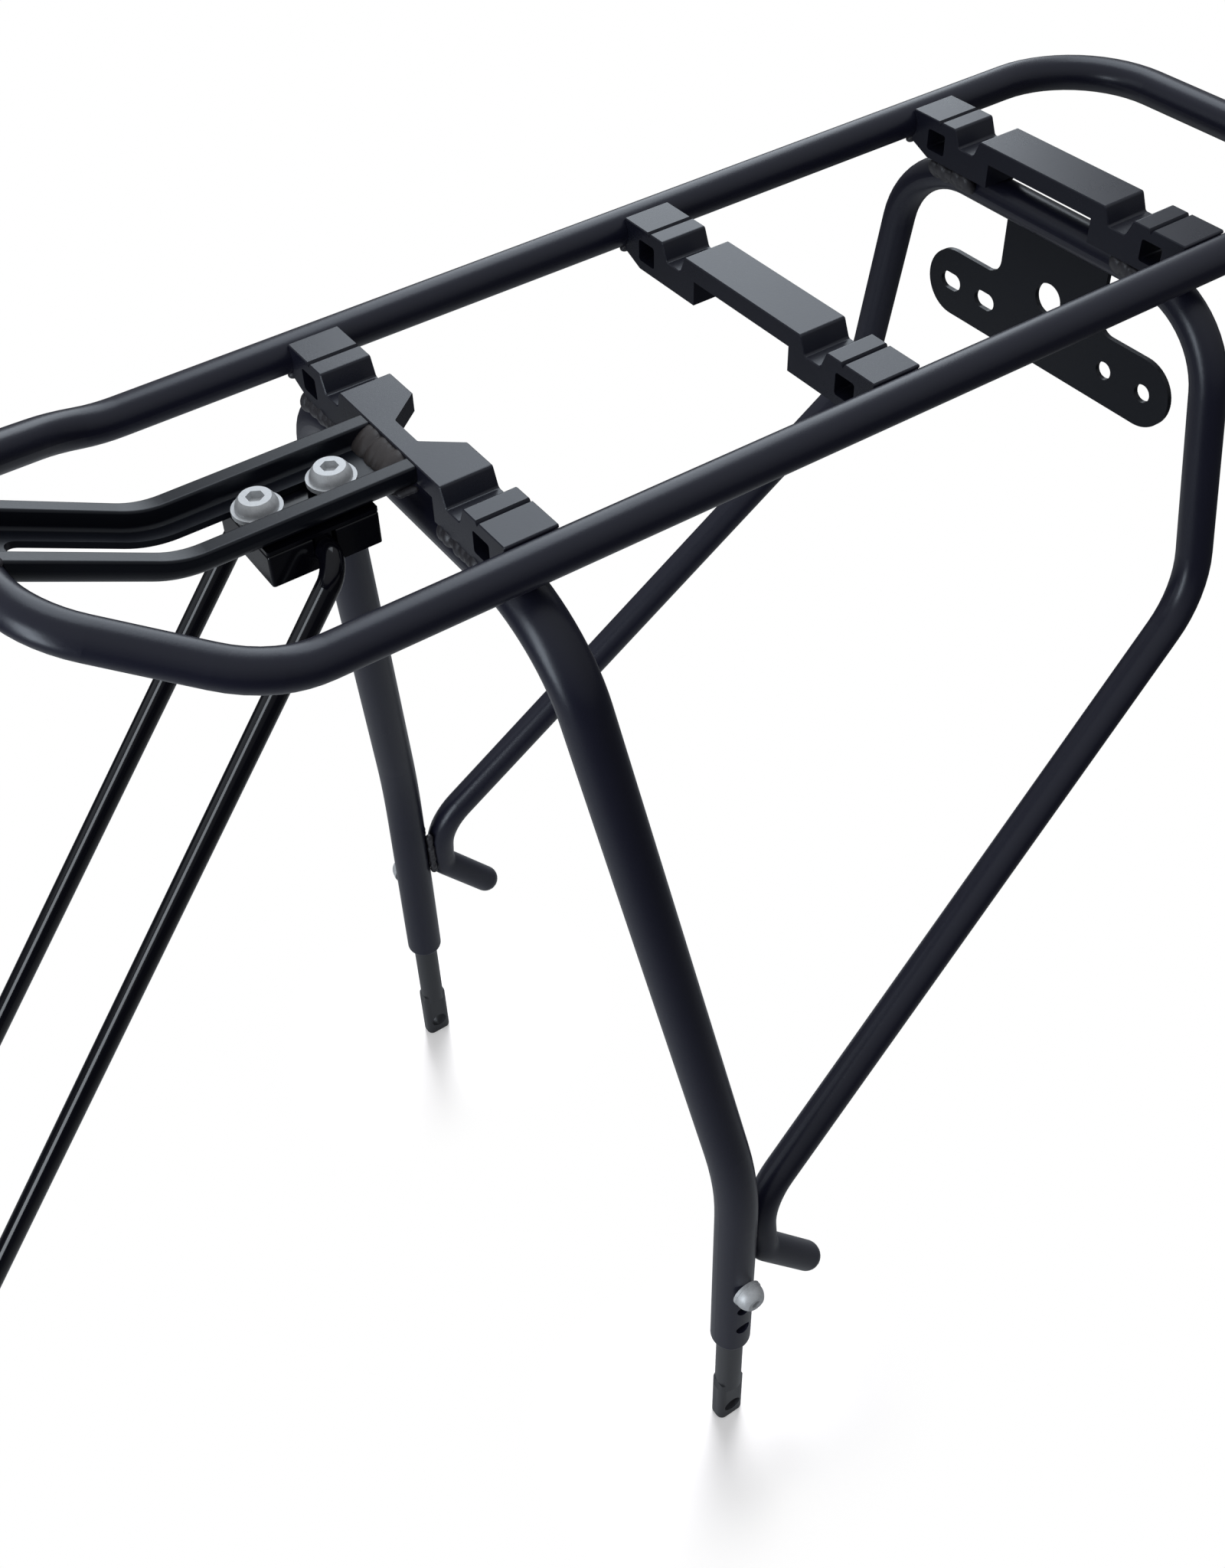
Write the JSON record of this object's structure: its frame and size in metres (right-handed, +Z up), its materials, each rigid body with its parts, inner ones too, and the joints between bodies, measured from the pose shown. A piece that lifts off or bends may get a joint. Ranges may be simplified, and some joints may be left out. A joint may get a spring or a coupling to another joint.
{
  "type": "bicycle rear rack",
  "caption": "Rear rack: bent-rod platform on two splayed leg hoops, grooved cross profiles, slotted channel with clamped front stays, lamp plate and telescopic feet.",
  "frame": {"origin": "midway between the two foot eyelets, on their common axis", "axes": "+X forward to the saddle, +Y to the rider's left, +Z up"},
  "size_m": [0.5276, 0.227, 0.3918],
  "materials": {
    "frame_coat": "matte blue-black powder coat on aluminium rod and tube",
    "profile_coat": "satin grey-black powder coat on extruded aluminium",
    "foot_coat": "dark grey anodised aluminium",
    "stay_coat": "gloss black lacquer on steel",
    "zinc": "bright zinc plate"
  },
  "bodies": {
    "rack": {"platform_loop": "frame_coat", "front_cross_profile": "profile_coat", "middle_cross_profile": "profile_coat", "rear_cross_profile": "profile_coat", "front_leg_hoop": "frame_coat", "rear_leg_hoop": "frame_coat", "stay_channel": "frame_coat", "lamp_plate": "frame_coat", "left_foot_bolt": "zinc", "right_foot_bolt": "zinc", "left_foot_washer": "zinc", "right_foot_washer": "zinc"},
    "stay_clamp": {"upper_clamp_plate": "stay_coat", "lower_clamp_block": "stay_coat", "front_clamp_bolt": "zinc", "rear_clamp_bolt": "zinc", "front_clamp_washer": "zinc", "rear_clamp_washer": "zinc"},
    "left_stay": {"left_stay": "stay_coat"},
    "right_stay": {"right_stay": "stay_coat"},
    "left_foot": {"left_foot_rod": "foot_coat"},
    "right_foot": {"right_foot_rod": "foot_coat"}
  },
  "joints": [
    {"name": "clamp_slide", "type": "slide", "parent": "rack", "child": "stay_clamp", "axis": [1, 0, 0], "range_m": [-0.0018, 0.0115]},
    {"name": "left_stay_pivot", "type": "hinge", "parent": "stay_clamp", "child": "left_stay", "pos_m": [0.0593, 0, 0.3516], "axis": [0, 1, 0], "range_deg": [-55, 60]},
    {"name": "right_stay_pivot", "type": "hinge", "parent": "stay_clamp", "child": "right_stay", "pos_m": [0.0593, 0, 0.3516], "axis": [0, 1, 0], "range_deg": [-55, 60]},
    {"name": "left_foot_slide", "type": "slide", "parent": "rack", "child": "left_foot", "axis": [0, 0, 1], "range_m": [-0.0244, 0]},
    {"name": "right_foot_slide", "type": "slide", "parent": "rack", "child": "right_foot", "axis": [0, 0, 1], "range_m": [-0.0244, 0]}
  ]
}
